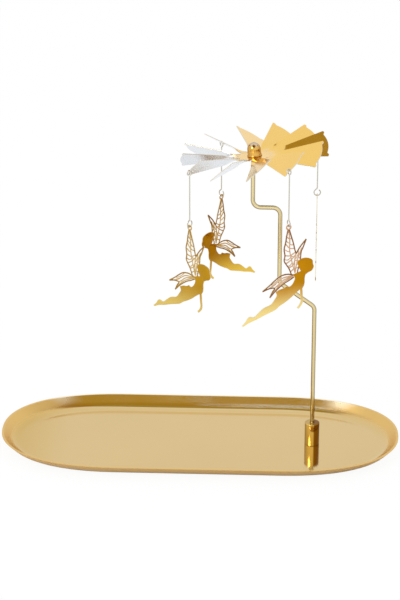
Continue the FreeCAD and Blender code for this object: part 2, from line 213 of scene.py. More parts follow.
def build_tray():
    points = []
    rings = tray_rings()
    for inset, height in rings:
        for index in range(tray_turns):
            x, y = outline_point(math.tau * (index + 0.5) / tray_turns, inset)
            points.append((x * mm, y * mm, height * mm))
    faces = []
    for ring in range(len(rings) - 1):
        for index in range(tray_turns):
            a = ring * tray_turns + index
            b = ring * tray_turns + (index + 1) % tray_turns
            faces.append((a, b, b + tray_turns, a + tray_turns))
    faces.append(tuple(range(tray_turns)))
    last = (len(rings) - 1) * tray_turns
    faces.append(tuple(range(last, last + tray_turns)))
    tray = mesh_piece("tray_metal", points, faces)
    outward_normals(tray)
    return tray


tray = build_tray()

# %% [markdown]
# The socket's screw comes up through a countersunk hole. A Boolean cuts it, and the cutter is
# a plain cone that is thrown away afterwards.

# %% Tray: the countersunk hole
socket_x = 53.7


def cut_away(piece, cutter):
    cut = piece.modifiers.new("cut", "BOOLEAN")
    cut.operation = "DIFFERENCE"
    cut.solver = "EXACT"
    cut.object = cutter
    apply_all(piece)
    bpy.data.objects.remove(cutter)


screw_hole_low = 3.1
screw_hole_high = 1.5
screw_hole_depth = 2.0
nothing_selected()
bpy.ops.mesh.primitive_cone_add(
    vertices=64, radius1=screw_hole_low * mm, radius2=screw_hole_high * mm,
    depth=screw_hole_depth * mm, location=(socket_x * mm, 0, tray_sheet * mm))
cut_away(tray, bpy.context.object)
smooth(tray, 28)
keep(tray, "tray_metal", "stand", "tray")

# %% [markdown]
# ## Socket
# A turned brass cylinder with a small chamfer and a bore for the rod. It is a cylinder whose top
# is inset and pushed down, then bevelled, which is how the lathe made it: face, bore, chamfer.

# %% Socket
socket_radius = 3.5
socket_low = tray_sheet
socket_height = 11.2
socket_high = tray_sheet + socket_height
socket_chamfer = 0.22
bore_depth = 2.5
rod_play = 0.06
rod_radius = 1.0


def faces_by(piece, test):
    only(piece)
    bpy.ops.object.mode_set(mode="EDIT")
    bpy.ops.mesh.select_mode(type="FACE")
    bpy.ops.mesh.select_all(action="DESELECT")
    bpy.ops.object.mode_set(mode="OBJECT")
    for face in piece.data.polygons:
        face.select = test(face)
    bpy.ops.object.mode_set(mode="EDIT")


nothing_selected()
bpy.ops.mesh.primitive_cylinder_add(
    vertices=96, radius=socket_radius * mm, depth=(socket_high - socket_low) * mm,
    location=(socket_x * mm, 0, (socket_low + socket_high) / 2 * mm))
socket = bpy.context.object
bpy.ops.object.transform_apply(location=True, rotation=True, scale=True)
faces_by(socket, lambda face: face.normal.z > 0.9)
bpy.ops.mesh.inset(thickness=(socket_radius - rod_radius - rod_play) * mm)
bpy.ops.mesh.extrude_region_move(TRANSFORM_OT_translate={"value": (0, 0, -bore_depth * mm)})
bpy.ops.object.mode_set(mode="OBJECT")
soften(socket, socket_chamfer, 40, 3)
smooth(socket, 32)
keep(socket, "socket_metal", "stand", "rod_socket")

# %% [markdown]
# ## Rod
# One wire, bent cold round a former, so each corner has the same radius. A path is drawn with
# arcs at its corners, and a curve with a round bevel gives it thickness. The last stretch tapers
# to the needle point through the curve's own point radii.

# %% Paths with rounded corners, and wire along a path
def rounded(corners, radius, steps=14):
    path = [Vector(corners[0])]
    for before, here, after in zip(corners, corners[1:], corners[2:]):
        here = Vector(here)
        back = (Vector(before) - here).normalized()
        ahead = (Vector(after) - here).normalized()
        half = back.angle(ahead) / 2
        start = here + back * (radius / math.tan(half))
        end = here + ahead * (radius / math.tan(half))
        centre = here + (back + ahead).normalized() * (radius / math.sin(half))
        sweep = (start - centre).rotation_difference(end - centre)
        for step in range(steps + 1):
            share = step / steps
            turn = Matrix.Rotation(sweep.angle * share, 3, sweep.axis)
            path.append(centre + turn @ (start - centre))
    path.append(Vector(corners[-1]))
    return path


def wire(path, radius, name, widths=None, sides=6):
    curve = bpy.data.curves.new(name, "CURVE")
    curve.dimensions = "3D"
    curve.bevel_depth = radius * mm
    curve.bevel_resolution = sides
    curve.use_fill_caps = True
    curve.twist_mode = "MINIMUM"
    spline = curve.splines.new("POLY")
    spline.points.add(len(path) - 1)
    for index, point in enumerate(path):
        spline.points[index].co = (*(Vector(point) * mm), 1)
        spline.points[index].radius = widths[index] if widths else 1.0
    piece = bpy.data.objects.new(name, curve)
    bpy.context.collection.objects.link(piece)
    only(piece)
    bpy.ops.object.convert(target="MESH")
    return bpy.context.object


# %% Rod
wheel_x = 24.4
rod_low_bend = 72.2
rod_mid_x = 37.1
rod_mid_bend = 84.2
rod_arm = 121.7
rod_bend_radius = 3.6
needle_tip = 152.84
needle_length = 9.0
needle_start = needle_tip - needle_length
needle_taper = 0.88
rod_foot = 10.0

rod_path = rounded([(socket_x, 0, rod_foot), (socket_x, 0, rod_low_bend),
                    (rod_mid_x, 0, rod_mid_bend), (rod_mid_x, 0, rod_arm),
                    (wheel_x, 0, rod_arm), (wheel_x, 0, needle_start)], rod_bend_radius)
rod_widths = [1.0] * len(rod_path)
for share in (0.35, 0.7, 0.92, 1.0):
    rod_path.append(Vector((wheel_x, 0, needle_start + (needle_tip - needle_start) * share)))
    rod_widths.append(1.0 - needle_taper * share)
rod = wire(rod_path, rod_radius, "rod_metal", rod_widths, 8)
smooth(rod, 40)
keep(rod, "rod_metal", "stand", "rod")

# %% [markdown]
# ## Fan wheel
# The wheel is one thin disc, slit into twelve blades, and each blade is twisted where it leaves
# the hub. A grid is shaped into one flat blade with a scalloped tip, twisted row by row about
# its own middle line, and turned round the axle twelve times. The inner ends are then joined to
# the bore, so hub and blades are one sheet before Solidify gives it thickness.

# %% Blade outline and twist
wheel_sheet = 0.35
wheel_plane = 146.9
first_blade = 35.0
blade_pitch = 36.0
blade_rise = math.radians(4.6)
twist_start = 7.0
twist_end = 15.0
tip_corner = 32.8
tip_top = 34.0
tip_notch = 32.8
tip_lobe = 33.3
tip_arc_half = 5.2
tip_lobe_start = 5.7
blade_half_angle = 13.0
slit_half = 0.15
bridge = 0.5
hole_side = -4.0
hole_radius = 0.95
cap_radius = 3.1
blade_rows = 30
blade_columns = 32
arc_columns = 10
lobe_columns = 5
row_bunching = 0.8


def half_width(out):
    return out * math.tan(math.radians(blade_half_angle)) - slit_half


def tip_edge(side):
    # three-lobed edge: a broad arc in the middle and a small lobe at each corner
    side = abs(side)
    rise = tip_top - tip_notch
    arc_radius = (tip_arc_half ** 2 + rise ** 2) / (2 * rise)
    if side < tip_arc_half:
        return tip_top - arc_radius + math.sqrt(arc_radius ** 2 - side ** 2)
    share = max(side - tip_lobe_start, 0.0) / (half_width(tip_corner) - tip_lobe_start)
    return tip_notch + (tip_lobe - tip_notch) * math.sin(math.pi * share)


def column_side(across):
    # columns are bunched so that some fall exactly on the notches of the tip
    step = abs(across) * blade_columns / 2
    past = step - arc_columns - 1
    if step <= arc_columns:
        side = tip_arc_half * step / arc_columns
    elif past <= 0:
        side = tip_arc_half + (tip_lobe_start - tip_arc_half) * (step - arc_columns)
    else:
        side = tip_lobe_start + (half_width(tip_corner) - tip_lobe_start) * past / lobe_columns
    return math.copysign(side / half_width(tip_corner), across)


def hole_out():
    return tip_edge(hole_side) - bridge - hole_radius


def blade_pitch_at(out):
    share = min(max((out - twist_start) / (twist_end - twist_start), 0.0), 1.0)
    return math.radians(blade_pitch) * share * share * (3 - 2 * share)


# %% One blade
def build_blade(with_hole):
    nothing_selected()
    bpy.ops.mesh.primitive_grid_add(x_subdivisions=blade_rows, y_subdivisions=blade_columns,
                                    size=2)
    blade = bpy.context.object
    for vertex in blade.data.vertices:
        along = (vertex.co.x + 1) / 2
        across = column_side(vertex.co.y)
        tip = tip_edge(across * half_width(tip_corner))
        out = twist_start + (tip - twist_start) * along ** row_bunching
        side = across * half_width(min(out, tip_corner))
        vertex.co = Vector((out * mm, side * mm, 0))
    if with_hole:
        bpy.ops.mesh.primitive_cylinder_add(vertices=40, radius=hole_radius * mm, depth=2 * mm,
                                            location=(hole_out() * mm, hole_side * mm, 0))
        cutter = bpy.context.object
        thick = blade.modifiers.new("thick", "SOLIDIFY")
        thick.thickness = 0.2 * mm
        thick.offset = -1
        apply_all(blade)
        cut_away(blade, cutter)
        faces_by(blade, lambda face: face.normal.z < 0.9)
        bpy.ops.mesh.delete(type="FACE")
        bpy.ops.object.mode_set(mode="OBJECT")
    for vertex in blade.data.vertices:
        out = vertex.co.x / mm
        side = vertex.co.y
        pitch = blade_pitch_at(out)
        run = max(out - twist_start, 0.0) * mm
        lift = side * math.sin(pitch)
        rise = blade_rise * pitch / math.radians(blade_pitch)
        vertex.co = Vector((min(out, twist_start) * mm + run * math.cos(blade_rise)
                            - lift * math.sin(rise),
                            side * math.cos(pitch),
                            lift * math.cos(rise) + run * math.sin(blade_rise)))
    return blade


plain_blade = build_blade(False)
holed_blade = build_blade(True)
print("blade", len(plain_blade.data.vertices), "points")

# %% Twelve blades and the hub in one sheet
blades = []
for index in range(12):
    source = holed_blade if index % 3 == 0 else plain_blade
    blade = copied(source, "blade_" + str(index))
    place(blade, Matrix.Rotation(math.radians(first_blade + 30 * index), 4, "Z"))
    blades.append(blade)
bpy.data.objects.remove(plain_blade)
bpy.data.objects.remove(holed_blade)
wheel = joined(blades, "wheel_metal")
hub_middle = 5.2
root_margin = 0.25
bore_play = 0.02


def add_hub(piece):
    work = bmesh.new()
    work.from_mesh(piece.data)
    bmesh.ops.remove_doubles(work, verts=work.verts, dist=0.001 * mm)
    root = [v for v in work.verts if v.is_boundary
            and Vector(v.co[:2]).length < (twist_start + root_margin) * mm
            and abs(v.co.z) < 0.01 * mm]
    root.sort(key=lambda v: math.atan2(v.co.y, v.co.x))
    bore = cap_radius + bore_play
    inner = []
    middle = []
    for v in root:
        flat = Vector(v.co[:2]).normalized()
        middle.append(work.verts.new((flat.x * hub_middle * mm, flat.y * hub_middle * mm, 0)))
        inner.append(work.verts.new((flat.x * bore * mm, flat.y * bore * mm, 0)))
    count = len(root)
    for k in range(count):
        n = (k + 1) % count
        work.faces.new((middle[k], root[k], root[n], middle[n]))
        work.faces.new((inner[k], middle[k], middle[n], inner[n]))
    bmesh.ops.recalc_face_normals(work, faces=work.faces)
    if sum(f.normal.z for f in work.faces) < 0:
        bmesh.ops.reverse_faces(work, faces=work.faces)
    work.to_mesh(piece.data)
    work.free()
    print("hub joined to", count, "root points")


add_hub(wheel)

# %% [markdown]
# The wheel stands a few degrees out of level on its point, its left side low. Everything on the
# rotor is built level round its own axle and then put through one placement.

# %% Rotor placement, thickness and the two faces of the sheet
rotor_lean = 7.7
rotor_low_side = math.radians(144.0)
cap_top = 153.3
cap_wall = 0.4
pivot = Vector((wheel_x, 0, cap_top - cap_wall)) * mm
lean_axis = Vector((-math.sin(rotor_low_side), math.cos(rotor_low_side), 0))
rotor_place = (Matrix.Translation(pivot) @ Matrix.Rotation(math.radians(rotor_lean), 4, lean_axis)
               @ Matrix.Translation(Vector((wheel_x, 0, wheel_plane)) * mm - pivot))

sheet_faces = len(wheel.data.polygons)
thick = wheel.modifiers.new("thick", "SOLIDIFY")
thick.thickness = wheel_sheet * mm
thick.offset = 0
thick.use_even_offset = True
apply_all(wheel)
under_faces = set()
for face in wheel.data.polygons[: 2 * sheet_faces]:
    if face.normal.z < 0:
        under_faces.add(face.index)
print("wheel sheet", sheet_faces, "faces a side,", len(under_faces), "below")
smooth(wheel, 30)
place(wheel, rotor_place)
keep(wheel, "wheel_metal", "rotor", "fan_wheel")

# %% [markdown]
# ## Bearing cap
# A drawn thimble: its flange sits under the wheel, a bead is rolled over the sheet, and the dome
# stands on the needle. Half its section is drawn once and spun round the axle.

# %% Bearing cap
def spun(section, name, steps=72):
    points = [(r * mm, 0, z * mm) for r, z in section]
    mesh = bpy.data.meshes.new(name)
    mesh.from_pydata(points, [(k, k + 1) for k in range(len(points) - 1)], [])
    piece = bpy.data.objects.new(name, mesh)
    bpy.context.collection.objects.link(piece)
    only(piece)
    bpy.ops.object.mode_set(mode="EDIT")
    bpy.ops.mesh.select_all(action="SELECT")
    bpy.ops.mesh.spin(steps=steps, angle=math.tau, center=(0, 0, 0), axis=(0, 0, 1))
    bpy.ops.object.mode_set(mode="OBJECT")
    outward_normals(piece)
    return piece


def arc(radius, centre, start, end, steps):
    found = []
    for step in range(steps + 1):
        angle = math.radians(start + (end - start) * step / steps)
        found.append((centre[0] + radius * math.cos(angle), centre[1] + radius * math.sin(angle)))
    return found


dome_top = cap_top - wheel_plane
dome_low = dome_top - cap_radius
seat_gap = 0.02
bead = 0.3
flange_sheet = 0.33
flange_middle = 4.1
collar_top = 0.75
flange_top = -wheel_sheet / 2 - seat_gap
flange_low = flange_top - flange_sheet
section = [(0.0, dome_top - cap_wall)]
section += arc(cap_radius - cap_wall, (0, dome_low), 86, 0, 14)
section += [(cap_radius - cap_wall, flange_low + bead)]
section += arc(bead, (cap_radius - cap_wall + bead, flange_low + bead), 180, 270, 5)
section += arc(flange_sheet / 2, (flange_middle, flange_low + flange_sheet / 2), -90, 90, 8)
section += [(cap_radius, flange_top), (cap_radius, wheel_sheet / 2 + seat_gap)]
section += arc(bead, (cap_radius + seat_gap, wheel_sheet / 2 + bead + seat_gap), -80, 80, 10)
section += [(cap_radius, wheel_sheet / 2 + collar_top), (cap_radius, dome_low)]
section += arc(cap_radius, (0, dome_low), 4, 86, 18)
section += [(0.0, dome_top)]
cap = spun(section, "cap_metal")
smooth(cap, 40)
place(cap, rotor_place)
keep(cap, "cap_metal", "rotor", "bearing_cap")

# %% [markdown]
# ## Hangers
# Each hanger is a straight wire with an eye bent at both ends. The joints in the record say
# where each one hangs and which way its figure flies, so those places are read from there.

# %% Hanger
wire_radius = 0.27
top_eye_radius = 1.15
low_eye_radius = 1.5
neck_bend = 0.6
hook_play = 0.12
ring_play = 0.05
ring_hole = 0.66
hanger_drop = 27.0
ring_lift = ring_hole - wire_radius - ring_play
low_eye = -hanger_drop + ring_lift + low_eye_radius
joint_places = {joint["name"]: joint for joint in frame["record"]["behaviour"]["joints"]}
stations = ["far_right", "far_left", "near_left", "near_right"]


def eye_drop_at(station):
    # the steeper the sheet stands under the hook, the higher the wire's middle lies
    angle = math.radians(first_blade + 90 * stations.index(station))
    blade = (rotor_place.to_3x3() @ Matrix.Rotation(angle, 3, "Z")
             @ Matrix.Rotation(-blade_rise, 3, "Y")
             @ Matrix.Rotation(math.radians(blade_pitch), 3, "X"))
    levelness = (blade @ Vector((0, 0, 1))).z
    return top_eye_radius - (wire_radius + wheel_sheet / 2 + hook_play) / levelness


eye_entry = 135
eye_sweep = 285
eye_steps = 48


def eye_path(shank, eye_radius):
    loop = []
    for step in range(eye_steps + 1):
        angle = math.radians(eye_entry + eye_sweep * step / eye_steps)
        loop.append(Vector((eye_radius * math.cos(angle), 0, eye_radius * math.sin(angle))))
    neck = rounded([(0, 0, shank), (0, 0, 2 * loop[0].z), loop[0]], neck_bend, 8)
    return neck + loop[1:]


def build_hanger(name, top_turn, low_turn, eye_drop):
    middle = (low_eye - eye_drop) / 2
    low = [Matrix.Rotation(low_turn, 3, "Z") @ p + Vector((0, 0, low_eye))
           for p in eye_path(middle - low_eye, low_eye_radius)]
    flip = Matrix.Rotation(top_turn, 3, "Z") @ Matrix.Rotation(math.pi, 3, "X")
    high = [flip @ p + Vector((0, 0, -eye_drop))
            for p in eye_path(-eye_drop - middle, top_eye_radius)]
    path = high[::-1] + low[1:]
    return wire(path, wire_radius, name, None, 4)


for station in stations:
    swing = joint_places["hanger_swing_" + station]
    fly = joint_places["fairy_swing_" + station]
    spoke_turn = math.atan2(swing["axis"][0], -swing["axis"][1])
    fly_turn = math.atan2(fly["axis"][0], -fly["axis"][1])
    hanger = build_hanger("hanger_wire_" + station, spoke_turn, fly_turn + math.pi / 2,
                          eye_drop_at(station))
    place(hanger, Matrix.Translation(Vector(swing["pos_m"])))
    smooth(hanger, 50)
    keep(hanger, "hanger_wire_" + station, "hanger_" + station, "hanger_" + station)

# %% [markdown]
# ## Fairies
# The figures are etched from flat sheet: solid body, head and legs, and wings of fine veins with
# the air showing through. A body outline is filled as one face. Each vein is a narrow strip that
# thins towards its end, and Solidify gives all of it the sheet's thickness.

# %% Outlines, x towards the head and z up from the hanging ring
body_back = [(6.3, -22.2), (4.4, -22.8), (2.4, -23.4)]
body_waist = [(2.4, -23.4), (3.4, -25.1), (3.0, -26.8), (1.9, -28.4), (0.7, -29.1),
              (-0.6, -28.6)]
dress_hem = [(-0.6, -28.6), (-2.0, -29.4), (-3.8, -29.7), (-6.0, -30.7)]
leg_back = [(-6.0, -30.7), (-5.4, -32.4), (-6.4, -34.2), (-8.3, -36.5), (-11.8, -37.7),
            (-14.4, -39.7), (-16.4, -41.3), (-18.4, -40.9), (-19.6, -41.4), (-20.7, -43.1),
            (-22.5, -44.8)]
leg_front = [(-22.5, -44.8), (-21.7, -45.1), (-19.2, -43.9), (-15.3, -42.7), (-12.1, -41.5),
             (-8.5, -40.3), (-6.0, -39.4), (-3.8, -37.8), (-1.7, -36.7), (1.2, -34.9),
             (3.7, -32.9), (5.8, -31.4)]
chest = [(5.8, -31.4), (7.2, -30.8), (8.0, -29.5), (8.3, -27.9), (8.3, -25.9), (8.8, -23.8)]
neck = [(8.8, -23.8), (7.6, -22.4), (6.3, -22.2)]
hair = [(6.4, -22.3), (5.4, -20.4), (4.6, -17.6), (6.5, -16.2), (8.6, -16.0), (10.6, -16.6),
        (12.0, -17.6), (12.3, -19.4), (12.7, -21.0), (11.8, -22.7), (10.1, -23.4), (8.8, -24.2)]
hair_close = [(8.8, -24.2), (7.6, -23.6), (6.4, -22.3)]
arm = [(6.6, -30.2), (6.9, -34.4), (7.1, -37.4), (6.0, -39.5), (5.0, -40.4)]
wing_edges = [
    [(-0.3, -1.2), (-1.0, -4.3), (-1.4, -7.2), (-2.1, -10.3), (-1.7, -13.5), (-2.0, -16.0),
     (-1.0, -17.9), (0.4, -20.1), (1.6, -23.0)],
    [(0.3, -1.2), (1.3, -4.5), (2.4, -8.0), (3.1, -11.0), (3.8, -13.3)],
    [(3.8, -13.3), (5.8, -10.2), (8.7, -6.9)],
    [(8.7, -6.9), (7.2, -10.7), (6.3, -12.9), (6.0, -16.6)],
    [(6.2, -16.8), (5.4, -19.4), (4.8, -21.6), (4.6, -23.2)],
    [(3.2, -23.8), (0.4, -22.9), (-1.7, -22.8), (-4.2, -23.4), (-6.7, -25.1), (-8.9, -26.9),
     (-12.5, -29.4)],
    [(-12.5, -29.4), (-9.2, -28.5), (-6.6, -28.7), (-7.6, -30.4), (-8.9, -33.0)],
    [(-8.9, -33.0), (-6.7, -30.7), (-4.2, -28.6), (-1.6, -26.9), (0.8, -25.8), (3.0, -24.6)],
]
wing_veins = [
    [(0.0, -1.4), (0.6, -6.5), (0.6, -11.0), (1.6, -16.0), (3.4, -22.8)],
    [(-1.3, -8.0), (0.6, -10.2), (2.9, -10.6)],
    [(-1.8, -13.4), (0.9, -13.9), (3.4, -12.6)],
    [(-1.2, -17.6), (1.5, -16.0), (3.8, -13.4)],
    [(-0.9, -4.6), (0.5, -5.6), (1.5, -5.6)],
    [(3.8, -13.3), (3.2, -16.5), (3.4, -22.8)],
    [(6.6, -10.8), (5.6, -13.4), (4.4, -17.0), (3.6, -22.6)],
    [(4.9, -12.0), (5.0, -14.6), (6.1, -16.4)],
    [(0.3, -19.8), (2.4, -18.8), (3.4, -16.6), (5.8, -17.2)],
    [(1.2, -21.8), (3.0, -20.6), (5.2, -20.2)],
    [(2.6, -23.9), (-2.4, -24.3), (-5.8, -26.4), (-9.4, -28.4)],
    [(2.6, -24.1), (-2.0, -25.3), (-4.8, -27.3), (-6.8, -28.8)],
    [(2.4, -24.3), (-1.6, -26.1), (-4.6, -28.1), (-7.4, -30.9)],
]
fine_veins = [
    [(-1.6, -10.6), (-0.4, -11.6), (0.9, -11.8)],
    [(0.7, -8.2), (1.8, -8.8), (2.4, -8.3)],
    [(-1.2, -6.2), (-0.2, -7.4), (0.6, -7.6)],
    [(1.0, -13.6), (2.2, -14.6), (3.6, -14.4)],
    [(-1.8, -15.4), (-0.2, -15.8), (1.2, -14.8)],
    [(2.0, -17.4), (0.8, -18.8), (-0.4, -18.8)],
    [(5.8, -12.6), (6.2, -13.6), (6.2, -14.6)],
    [(4.6, -14.0), (4.0, -15.4), (3.3, -15.8)],
    [(4.2, -18.6), (5.0, -18.6), (5.6, -18.2)],
    [(-3.4, -23.4), (-5.0, -25.0), (-8.2, -27.0)],
    [(-5.4, -25.9), (-6.6, -27.2), (-8.8, -28.2)],
    [(-3.4, -25.9), (-4.2, -27.0), (-5.6, -28.2)],
]


# %% Flowing lines, filled outlines and veins
def flowing(points, steps=6):
    found = []
    last = len(points) - 1
    for k in range(last):
        p0 = Vector(points[max(k - 1, 0)])
        p1 = Vector(points[k])
        p2 = Vector(points[k + 1])
        p3 = Vector(points[min(k + 2, last)])
        for step in range(steps):
            t = step / steps
            found.append(0.5 * ((2 * p1) + (p2 - p0) * t + (2 * p0 - 5 * p1 + 4 * p2 - p3) * t * t
                                + (3 * p1 - p0 - 3 * p2 + p3) * t ** 3))
    found.append(Vector(points[-1]))
    return found


def filled(stretches, name):
    ring = []
    for stretch in stretches:
        ring += flowing(stretch)[:-1]
    return mesh_piece(name, [(p.x * mm, 0, p.y * mm) for p in ring], [tuple(range(len(ring)))])


def vein(points, start_width, end_width, name):
    line = flowing(points)
    left = []
    right = []
    for k, point in enumerate(line):
        ahead = (line[min(k + 1, len(line) - 1)] - line[max(k - 1, 0)]).normalized()
        side = Vector((-ahead.y, ahead.x))
        width = start_width + (end_width - start_width) * k / (len(line) - 1)
        left.append(point + side * width / 2)
        right.append(point - side * width / 2)
    points3 = [(p.x * mm, 0, p.y * mm) for p in left + right]
    count = len(left)
    faces = [(k, k + 1, count + k + 1, count + k) for k in range(count - 1)]
    return mesh_piece(name, points3, faces)


def thicken(piece, thickness):
    outward_normals(piece)
    thick = piece.modifiers.new("thick", "SOLIDIFY")
    thick.thickness = thickness * mm
    thick.offset = 0
    apply_all(piece)
    return piece


# %% One fairy
fairy_sheet = 0.4
ring_outer = 1.4


def build_fairy():
    # body, hair and arm first, so that their faces come first in the joined mesh
    parts = [thicken(filled([body_back, body_waist, dress_hem, leg_back, leg_front, chest, neck],
                            "body"), fairy_sheet)]
    parts.append(thicken(filled([hair, hair_close], "hair"), fairy_sheet - 0.01))
    parts.append(thicken(vein(arm, 1.25, 0.95, "arm"), fairy_sheet - 0.02))
    count = 0
    for lines, start_width, end_width in ((wing_edges, 0.64, 0.56), (wing_veins, 0.58, 0.42),
                                          (fine_veins, 0.48, 0.36)):
        for line in lines:
            count += 1
            parts.append(thicken(vein(line, start_width, end_width, "vein"),
                                 fairy_sheet - 0.03 - 0.002 * count))
    for part in parts[:3]:
        soften(part, 0.05, 50, 2)
    nothing_selected()
    bpy.ops.mesh.primitive_torus_add(major_segments=56, minor_segments=16,
                                     major_radius=(ring_outer + ring_hole) / 2 * mm,
                                     minor_radius=(ring_outer - ring_hole) / 2 * mm,
                                     rotation=(math.pi / 2, 0, 0))
    ring = bpy.context.object
    bpy.ops.object.transform_apply(location=True, rotation=True, scale=True)
    bpy.ops.object.mode_set(mode="EDIT")
    bpy.ops.mesh.select_all(action="SELECT")
    bpy.ops.transform.resize(value=(1, fairy_sheet / (ring_outer - ring_hole), 1))
    bpy.ops.object.mode_set(mode="OBJECT")
    parts.append(ring)
    solid_faces = sum(len(part.data.polygons) for part in parts[:3])
    edge_faces = sum(len(part.data.polygons) for part in parts[3:3 + len(wing_edges)])
    fairy = joined(parts, "fairy")
    print("fairy", solid_faces, "faces in the figure and", len(fairy.data.polygons), "in all")
    smooth(fairy, 30)
    return fairy, solid_faces, edge_faces


pattern_fairy, fairy_solid_faces, fairy_edge_faces = build_fairy()
for station in stations:
    joint = joint_places["fairy_swing_" + station]
    turn = math.atan2(joint["axis"][0], -joint["axis"][1])
    pin = Vector(joint["pos_m"]) - Vector((0, 0, ring_lift * mm))
    fairy = copied(pattern_fairy, "fairy_metal_" + station)
    place(fairy, Matrix.Translation(pin) @ Matrix.Rotation(turn, 4, "Z"))
    keep(fairy, "fairy_metal_" + station, "fairy_" + station, "fairy_" + station)
bpy.data.objects.remove(pattern_fairy)

# %% [markdown]
# ## Finishes
# All the metal is plated and polished, so its look is mostly what it mirrors. What the material
# adds is the plating's own colour with slight clouds, faint wipe marks in the gloss, and a very
# low ripple that keeps the mirrors from looking computed. One node group makes these for all.

# %% The shared group
def add_node(tree, kind, place_at, **values):
    node = tree.nodes.new(kind)
    node.location = place_at
    for key, value in values.items():
        setattr(node, key, value)
    return node


def wired(tree, *links):
    for source, output, target, into in links:
        tree.links.new(source.outputs[output], target.inputs[into])


def plated_group():
    group = bpy.data.node_groups.new("plated_finish", "ShaderNodeTree")
    face = group.interface
    face.new_socket(name="Place", in_out="INPUT", socket_type="NodeSocketVector")
    face.new_socket(name="Tone", in_out="INPUT", socket_type="NodeSocketColor")
    face.new_socket(name="Deep Tone", in_out="INPUT", socket_type="NodeSocketColor")
    for name in ("Cloud Scale", "Cloud Amount", "Gloss Low", "Gloss High", "Wipe Scale",
                 "Ripple Scale", "Ripple Height"):
        face.new_socket(name=name, in_out="INPUT", socket_type="NodeSocketFloat")
    face.new_socket(name="Color", in_out="OUTPUT", socket_type="NodeSocketColor")
    face.new_socket(name="Roughness", in_out="OUTPUT", socket_type="NodeSocketFloat")
    face.new_socket(name="Height", in_out="OUTPUT", socket_type="NodeSocketFloat")
    given = add_node(group, "NodeGroupInput", (-900, 0))
    out = add_node(group, "NodeGroupOutput", (700, 0))
    cloud = add_node(group, "ShaderNodeTexNoise", (-600, 250))
    cloud.inputs["Detail"].default_value = 3.0
    amount = add_node(group, "ShaderNodeMath", (-350, 250), operation="MULTIPLY")
    tint = add_node(group, "ShaderNodeMix", (-100, 250), data_type="RGBA")
    wipe = add_node(group, "ShaderNodeTexNoise", (-600, -50))
    wipe.inputs["Detail"].default_value = 6.0
    wipe.inputs["Roughness"].default_value = 0.62
    gloss = add_node(group, "ShaderNodeMapRange", (-100, -50))
    gloss.inputs["From Min"].default_value = 0.3
    gloss.inputs["From Max"].default_value = 0.75
    ripple = add_node(group, "ShaderNodeTexNoise", (-600, -350))
    ripple.inputs["Detail"].default_value = 1.0
    lift = add_node(group, "ShaderNodeMath", (-100, -350), operation="MULTIPLY")
    wired(group, (given, "Place", cloud, "Vector"), (given, "Place", wipe, "Vector"),
          (given, "Place", ripple, "Vector"), (given, "Cloud Scale", cloud, "Scale"),
          (given, "Wipe Scale", wipe, "Scale"), (given, "Ripple Scale", ripple, "Scale"),
          (cloud, "Fac", amount, 0), (given, "Cloud Amount", amount, 1), (amount, 0, tint, 0),
          (given, "Tone", tint, 6), (given, "Deep Tone", tint, 7), (wipe, "Fac", gloss, "Value"),
          (given, "Gloss Low", gloss, "To Min"), (given, "Gloss High", gloss, "To Max"),
          (ripple, "Fac", lift, 0), (given, "Ripple Height", lift, 1), (tint, 2, out, "Color"),
          (gloss, 0, out, "Roughness"), (lift, 0, out, "Height"))
    return group


finish_group = plated_group()


def srgb(red, green, blue):
    def linear(value):
        value /= 255
        return value / 12.92 if value <= 0.04045 else ((value + 0.055) / 1.055) ** 2.4
    return linear(red), linear(green), linear(blue), 1.0


def metal(name, tone, deep, cloud=(30.0, 0.5), gloss=(0.05, 0.14), wipe=90.0,
          ripple=(25.0, 0.3), stretch=(1, 1, 1)):
    material = bpy.data.materials.new(name)
    material.use_nodes = True
    tree = material.node_tree
    shader = tree.nodes["Principled BSDF"]
    shader.inputs["Metallic"].default_value = 1.0
    where = add_node(tree, "ShaderNodeTexCoord", (-1100, 0))
    fit = add_node(tree, "ShaderNodeMapping", (-900, 0))
    fit.inputs["Scale"].default_value = stretch
    use = add_node(tree, "ShaderNodeGroup", (-650, 0), node_tree=finish_group)
    use.name = "finish"
    values = {"Tone": srgb(*tone), "Deep Tone": srgb(*deep), "Cloud Scale": cloud[0],
              "Cloud Amount": cloud[1], "Gloss Low": gloss[0], "Gloss High": gloss[1],
              "Wipe Scale": wipe, "Ripple Scale": ripple[0], "Ripple Height": 1.0}
    for key, value in values.items():
        use.inputs[key].default_value = value
    bump = add_node(tree, "ShaderNodeBump", (-300, -250))
    bump.inputs["Strength"].default_value = 1.0
    bump.inputs["Distance"].default_value = ripple[1] * mm
    wired(tree, (where, "Object", fit, "Vector"), (fit, "Vector", use, "Place"),
          (use, "Color", shader, "Base Color"), (use, "Roughness", shader, "Roughness"),
          (use, "Height", bump, "Height"), (bump, "Normal", shader, "Normal"))
    return material


def painted_edge_shade(material, tone, reach):
    # painted shade: the base colour darkens where the surface turns away from the eye, as a
    # polished round bar looks
    tree = material.node_tree
    shader = tree.nodes["Principled BSDF"]
    turned = add_node(tree, "ShaderNodeLayerWeight", (-700, 500))
    turned.inputs["Blend"].default_value = reach
    mix = add_node(tree, "ShaderNodeMix", (-250, 450), data_type="RGBA")
    mix.inputs[7].default_value = srgb(*tone)
    so_far = shader.inputs["Base Color"].links[0].from_socket
    tree.links.new(so_far, mix.inputs[6])
    wired(tree, (turned, "Facing", mix, 0), (mix, 2, shader, "Base Color"))
    return material


def coordinate_ramp(tree, axis, low, high, row):
    where = tree.nodes["Texture Coordinate"]
    split = add_node(tree, "ShaderNodeSeparateXYZ", (-700, row))
    ramp = add_node(tree, "ShaderNodeMapRange", (-500, row), interpolation_type="SMOOTHSTEP")
    ramp.inputs["From Min"].default_value = low * mm
    ramp.inputs["From Max"].default_value = high * mm
    wired(tree, (where, "Object", split, 0), (split, axis, ramp, "Value"))
    return ramp


